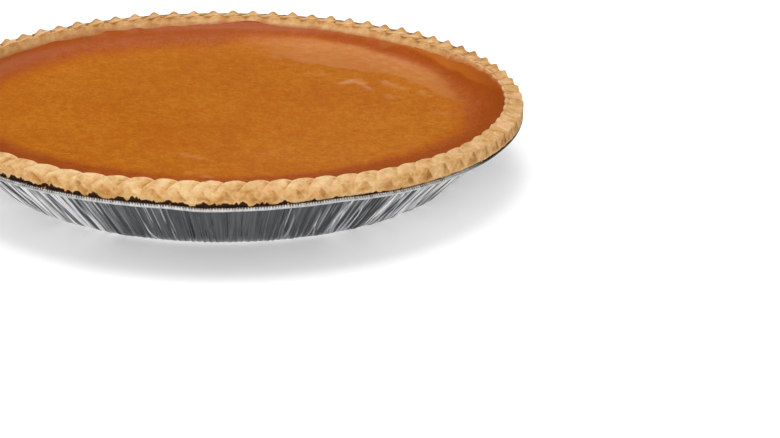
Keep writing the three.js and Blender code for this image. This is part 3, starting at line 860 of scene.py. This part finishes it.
def make_bead():
    """The rolled bead: a ring of round section whose upper half is notched by the knurl, a cosine
    wave clipped flat, each notch with its own depth and painted shade."""
    angle = even_angles(KNURLS * BEAD_COLUMNS_PER_KNURL)
    turn = even_angles(BEAD_ROWS).T + BEAD_SEAM
    tooth = np.floor(angle * KNURLS / TURN)
    notch = np.clip(1.4 * np.cos(angle * KNURLS + 0.8 * np.sin(turn)), -1, 1) * 0.5 + 0.5
    carved = notch * np.clip(0.1 + 1.25 * np.sin(turn), 0, 1)
    section = BEAD_RADIUS * (1 - (0.20 + 0.25 * chance(tooth, 81)) * carved)
    points = bent(along(angle, RIM_RADIUS - BEAD_RADIUS + section * np.cos(turn),
                        BEAD_HEIGHT + section * np.sin(turn)), angle)
    grain = along(angle, RIM_RADIUS * MM, turn * MM)
    # painted shade: in the knurl's notches, over some whole notches at random, and over the whole
    # bead on its shaded side
    notch_shade = carved * (0.2 + 0.7 * chance(tooth, 82)) + 0.35 * chance(tooth, 83) ** 2
    tarnish = np.maximum(notch_shade, smoothstep(swell(angle, SHADED_BEAD), 0.15, 0.5))
    return grid_mesh("rolled_bead", points[::-1], ring=True, grain=grain[::-1],
                     tarnish=tarnish[::-1], glint=0 * tarnish)


# ---- Materials ----

def linear(code):
    """An sRGB hex colour as linear red, green, blue and full alpha."""
    parts = [int(code[k:k + 2], 16) / 255 for k in (1, 3, 5)]
    return tuple(c / 12.92 if c <= 0.04045 else ((c + 0.055) / 1.055) ** 2.4 for c in parts) + (1,)


def add_node(owner, kind, links=(), inputs=None, stops=(), **settings):
    """Adds a node to a material or world: sets its attributes, its inputs and a colour ramp's
    stops, and makes its links, each a pair of the socket it comes from and the input it goes to."""
    tree = owner.node_tree
    node = tree.nodes.new("ShaderNode" + kind)
    for label, value in settings.items():
        setattr(node, label, value)
    for label, value in (inputs or {}).items():
        node.inputs[label].default_value = value
    for socket, label in links:
        tree.links.new(socket, node.inputs[label])
    for number in range(2, len(stops)):
        node.color_ramp.elements.new(0.5)
    for number, (place, code) in enumerate(stops):
        node.color_ramp.elements[number].position = place
        node.color_ramp.elements[number].color = linear(code)
    return node


def new_material(name):
    """A material with an empty tree."""
    material = bpy.data.materials.new(name)
    material.use_nodes = True
    material.node_tree.nodes.clear()
    return material


def surfaced(material, links, values):
    """The material with its surface shader, whose sockets take the links and values, and its
    output."""
    shader = add_node(material, "BsdfPrincipled", links, values)
    add_node(material, "OutputMaterial", [(shader.outputs["BSDF"], "Surface")])
    return material


def clouded(material, place, tone, clouds, harshness):
    """A tone with clouds of several sizes in it: noise less its middle, times each weight, added
    up. Also the last and finest cloud by itself."""
    for size, detail, weight in clouds:
        cloud = add_node(material, "TexNoise", [(place, "Vector")],
                         {"Scale": 1 / (size * MM), "Detail": detail, "Roughness": harshness})
        centred = add_node(material, "Math", [(cloud.outputs["Fac"], 0)], {1: 0.5},
                           operation="SUBTRACT").outputs[0]
        tone = add_node(material, "Math", [(centred, 0), (tone, 2)], {1: weight},
                        operation="MULTIPLY_ADD").outputs[0]
    return tone, centred


def coated(material, base, coats):
    """A base colour under thin coats, one after another: each a mix towards its own colour by
    its factor times its share."""
    for factor, code, share in coats:
        strength = add_node(material, "Math", [(factor, 0)], {1: share},
                            operation="MULTIPLY").outputs[0]
        base = add_node(material, "Mix", [(strength, "Factor"), (base, 6)],
                        {7: linear(code)}, data_type="RGBA").outputs[2]
    return base


def fine_pits(material, place, size, detail, harshness, strength, depth):
    """Relief too fine for the mesh, as a normal: noise of that size as a bump of that depth,
    both in millimetres."""
    pits = add_node(material, "TexNoise", [(place, "Vector")],
                    {"Scale": 1 / (size * MM), "Detail": detail, "Roughness": harshness})
    return add_node(material, "Bump", [(pits.outputs["Fac"], "Height")],
                    {"Strength": strength, "Distance": depth * MM}).outputs["Normal"]


def pastry():
    """Baked shortcrust: flour and fat rolled thin, crimped and baked dry. To the eye it is matt
    and crumbly, golden, with a pale painted highlight on the lips' edges, browner on the teeth,
    painted shade in creases, pinches, hollows and on the teeth's far facets, stained by the
    custard it touches, dark underneath from burning and painted shade, and light goes a little
    way into it.

    Its clouds are blisters of 4 mm, flakes of 1.4 mm and crumb of 0.6 mm, which is coarser than
    flour so that it shows."""
    material = new_material("baked_shortcrust")
    place = add_node(material, "TexCoord").outputs["Object"]
    browned, lip, stained, burnt = (
        add_node(material, "Attribute", attribute_name=label).outputs["Fac"]
        for label in ("browned", "lip", "stained", "burnt"))
    tone, _ = clouded(material, place, browned,
                      ((4.0, 2.0, 0.40), (1.4, 3.0, 0.42), (0.6, 2.0, 0.42)), 0.6)
    golden = add_node(material, "ValToRGB", [(tone, "Fac")], stops=(
        (0.0, "#E6C791"), (0.22, "#DAB079"), (0.42, "#CB9A5B"), (0.62, "#B57F40"),
        (0.82, "#93602B"), (1.0, "#6E3F19"))).outputs["Color"]
    # lip: pale painted highlight on the lip's edge and pale rosy patches; stained: custard stain;
    # the dark underside: burnt and painted shade
    baked = coated(material, golden, (
        (lip, "#F2BE92", 0.8), (stained, "#B4581A", 0.9), (burnt, "#3A1D0C", 1.0)))
    crumb = fine_pits(material, place, 0.8, 5.0, 0.7, strength=0.7, depth=0.5)
    return surfaced(material, [(baked, "Base Color"), (crumb, "Normal")], {
        "Roughness": 0.75, "Specular IOR Level": 0.3, "Subsurface Weight": 0.08,
        "Subsurface Radius": (0.0020, 0.0011, 0.0006), "Subsurface Scale": 1.0})


def custard():
    """Set pumpkin custard: eggs, milk and pumpkin set in the oven under a thin dried skin. To the
    eye it is smooth with a soft sheen, orange and mottled, browner where it climbs, with a paler
    band and strokes of painted sheen in places and a film left on the crust.

    Its clouds are swirls of 22 mm, mottling of 4.5 mm and pulp of 1.4 mm. The ground spice is
    drawn as specks of 1.1 mm, coarser than it is, so that it shows. The pores are 1.6 mm."""
    material = new_material("set_pumpkin_custard")
    place = add_node(material, "TexCoord").outputs["Object"]
    baked, film, pale = (
        add_node(material, "Attribute", attribute_name=label).outputs["Fac"]
        for label in ("baked", "film", "pale"))
    tone = add_node(material, "Math", [(baked, 0)], {1: 0.8, 2: 0.2},
                    operation="MULTIPLY_ADD").outputs[0]
    tone, pulp = clouded(material, place, tone,
                         ((22.0, 3.0, 0.30), (4.5, 2.0, 0.7), (1.4, 2.0, 1.1)), 0.55)
    orange = add_node(material, "ValToRGB", [(tone, "Fac")], stops=(
        (0.0, "#C4761C"), (0.2, "#BA6914"), (0.44, "#B45E15"), (0.72, "#A8521B"),
        (1.0, "#9F4A12"))).outputs["Color"]
    mottled = add_node(material, "Math", [(pulp, 0)], {1: 2.2, 2: 1.0},
                       operation="MULTIPLY_ADD").outputs[0]
    # the painted sheen: a paler colour over the band and strokes, mottled
    sheen_amount = add_node(material, "Math", [(pale, 0), (mottled, 1)],
                        operation="MULTIPLY").outputs[0]
    filmed_and_sheened = coated(material, orange, ((sheen_amount, "#D89C6A", 0.30), (film, "#B96622", 0.9)))
    speck = add_node(material, "TexNoise", [(place, "Vector")],
                     {"Scale": 1 / (1.1 * MM), "Detail": 2.0, "Roughness": 0.5})
    spice = add_node(material, "ValToRGB", [(speck.outputs["Fac"], "Fac")],
                     stops=((0.26, "#C0B0A0"), (0.36, "#FFFFFF")))
    spiced = add_node(material, "Mix", [(filmed_and_sheened, 6), (spice.outputs["Color"], 7)],
                      {"Factor": 0.6}, data_type="RGBA", blend_type="MULTIPLY").outputs[2]
    pores = fine_pits(material, place, 1.6, 3.0, 0.55, strength=0.25, depth=0.4)
    return surfaced(material, [(spiced, "Base Color"), (pores, "Normal")], {
        "Roughness": 0.26, "Specular IOR Level": 0.12, "Subsurface Weight": 0.05,
        "Subsurface Radius": (0.003, 0.0015, 0.0005), "Subsurface Scale": 1.0})


def foil(name, roughness, code, dark):
    """Aluminium foil: rolled bright, then pressed in a die that folds its wall and rolls its edge.
    To the eye it is bare metal whose colour is painted: dark, as painted shade, where a fold would
    mirror the dark, and bright where it would catch the light, with fine drawn lines that run up
    the wall.

    The lines are 1.1 and 0.9 mm apart, coarser than rolling marks so that they show, and drawn
    out 25 times. They move the painted dark reflection up and down by their noise, times the
    glint, as painted streaks of light and shade."""
    material = new_material(name)
    unshaded = add_node(material, "RGB").outputs[0]
    unshaded.default_value = linear(code)
    tarnish, glint = (
        add_node(material, "Attribute", attribute_name=label).outputs["Fac"]
        for label in ("tarnish", "glint"))
    grain = add_node(material, "Attribute", attribute_name="grain").outputs["Vector"]
    drawn = add_node(material, "Mapping", [(grain, "Vector")],
                     {"Scale": (1, 1, 0.04)}).outputs[0]
    lines = add_node(material, "TexNoise", [(drawn, "Vector")],
                     {"Scale": 1 / (1.1 * MM), "Detail": 2.0, "Roughness": 0.5})
    centred = add_node(material, "Math", [(lines.outputs["Fac"], 0)], {1: 0.5},
                       operation="SUBTRACT").outputs[0]
    strength = add_node(material, "Math", [(glint, 0)], {1: -5.5},
                        operation="MULTIPLY").outputs[0]
    lined = add_node(material, "Math", [(centred, 0), (strength, 1), (tarnish, 2)],
                     operation="MULTIPLY_ADD", use_clamp=True).outputs[0]
    mirrored = coated(material, unshaded, ((lined, dark, 1.0),))
    dull = add_node(material, "Math", [(tarnish, 0)], {1: -0.35, 2: roughness + 0.25},
                    operation="MULTIPLY_ADD").outputs[0]
    streaks = fine_pits(material, drawn, 0.9, 3.0, 0.6, strength=0.35, depth=0.3)
    return surfaced(material, [(mirrored, "Base Color"), (dull, "Roughness"), (streaks, "Normal")],
                    {"Metallic": 1.0})


# ---- Stage ----

def make_camera():
    """The camera looks along +Y and down, rolled a little."""
    camera = bpy.data.objects.new("camera", bpy.data.cameras.new("camera"))
    camera.data.lens = LENS
    tilt = Matrix.Rotation(math.radians(90) - CAMERA_DOWN, 4, "X")
    camera.matrix_world = Matrix.Translation(CAMERA_AT) @ tilt @ Matrix.Rotation(CAMERA_ROLL, 4, "Z")
    bpy.context.scene.collection.objects.link(camera)
    bpy.context.scene.camera = camera


def make_floor():
    """A pale floor just under the tin: a matt white acrylic light table, which glows a little."""
    material = surfaced(new_material("matt_white_acrylic"), [], {
        "Base Color": linear("#F4F4F4"), "Roughness": 0.6, "Specular IOR Level": 0.2,
        "Emission Color": linear("#FFFFFF"), "Emission Strength": 0.26})
    mesh = bpy.data.meshes.new("floor")
    mesh.from_pydata([(x * FLOOR_HALF, y * FLOOR_HALF, 0)
                      for x, y in ((-1, -1), (1, -1), (1, 1), (-1, 1))], [], [(0, 1, 2, 3)])
    mesh.materials.append(material)
    floor = bpy.data.objects.new("floor", mesh)
    floor.location.z = -FLOOR_DROP
    bpy.context.scene.collection.objects.link(floor)


def soft_light(name, place, size, power):
    """A square area light that faces the pie."""
    light = bpy.data.lights.new(name, "AREA")
    light.size = size
    light.energy = power
    lamp = bpy.data.objects.new(name, light)
    lamp.location = place
    lamp.rotation_mode = "QUATERNION"
    lamp.rotation_quaternion = (-Vector(place)).to_track_quat("-Z", "Y")
    bpy.context.scene.collection.objects.link(lamp)


def make_light():
    """Soft boxes, and a sky that is bright above and in front and dim behind: its brightness
    goes with the cosine of the angle from its brightest part."""
    world = bpy.data.worlds.new("studio")
    world.use_nodes = True
    tree = world.node_tree
    place = add_node(world, "TexCoord").outputs["Generated"]
    toward = add_node(world, "VectorMath", [(place, 0)], {1: SKY_TOP},
                      operation="DOT_PRODUCT").outputs["Value"]
    sky = add_node(world, "ValToRGB", [(toward, "Fac")])
    for point, (cosine, level) in zip(sky.color_ramp.elements, SKY_LEVELS):
        point.position = cosine
        point.color = (level, level, level, 1)
    tree.links.new(sky.outputs["Color"], tree.nodes["Background"].inputs["Color"])
    tree.nodes["Background"].inputs["Strength"].default_value = SKY_STRENGTH
    bpy.context.scene.world = world
    for name, at, size, power in SOFT_BOXES:
        soft_light(name, at, size, power)
    bpy.context.scene.view_settings.view_transform = "Standard"


# ---- The pie ----

make_camera()
shortcrust = pastry()
dress(make_crust_rim(), "crust", shortcrust)
dress(make_crust_lining(), "crust", shortcrust)
dress(make_crumbs(), "crust", shortcrust)
dress(make_filling(), "filling", custard())
# each foil's last colour is the painted shade that its painted dark reflection mixes in
dress(make_foil(), "foil_tin", foil("pressed_aluminium_foil", 0.3, "#FCFCFC", "#484B4E"))
dress(make_bead(), "foil_tin", foil("rolled_foil_edge", 0.22, "#C4C4C4", "#45403B"))
make_floor()
make_light()
